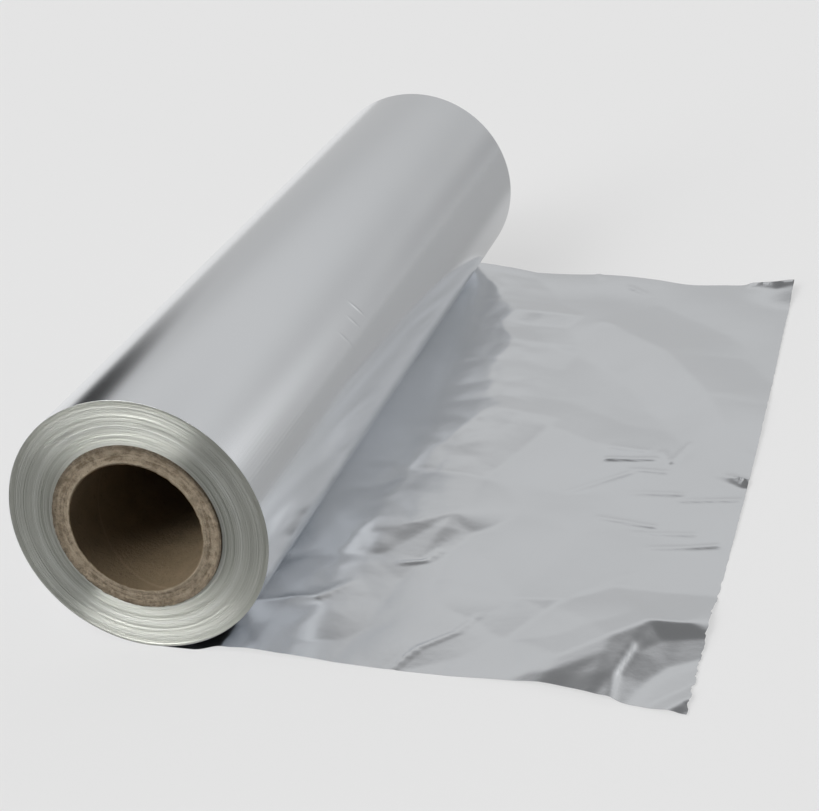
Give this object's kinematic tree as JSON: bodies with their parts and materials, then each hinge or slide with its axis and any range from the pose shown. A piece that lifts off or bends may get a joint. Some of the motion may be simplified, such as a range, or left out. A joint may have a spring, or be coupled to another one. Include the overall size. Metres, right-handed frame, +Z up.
{
  "type": "aluminium foil roll",
  "caption": "Roll of household aluminium foil wound on a paperboard tube, lying on its side with a creased length pulled out flat beside it.",
  "frame": {"origin": "on the table under the roll's axis, half-way along the roll", "axes": "+Y along the roll's axis, +X towards the cut edge of the pulled-out sheet, +Z up"},
  "size_m": [0.1992, 0.308, 0.0799],
  "materials": {
    "foil": "bright rolled foil, satin across the turns, creased where it is pulled out",
    "core_tube": "raw brown paperboard with rough cut ends"
  },
  "bodies": {
    "root": {"foil": "foil", "core_tube": "core_tube"}
  },
  "joints": []
}
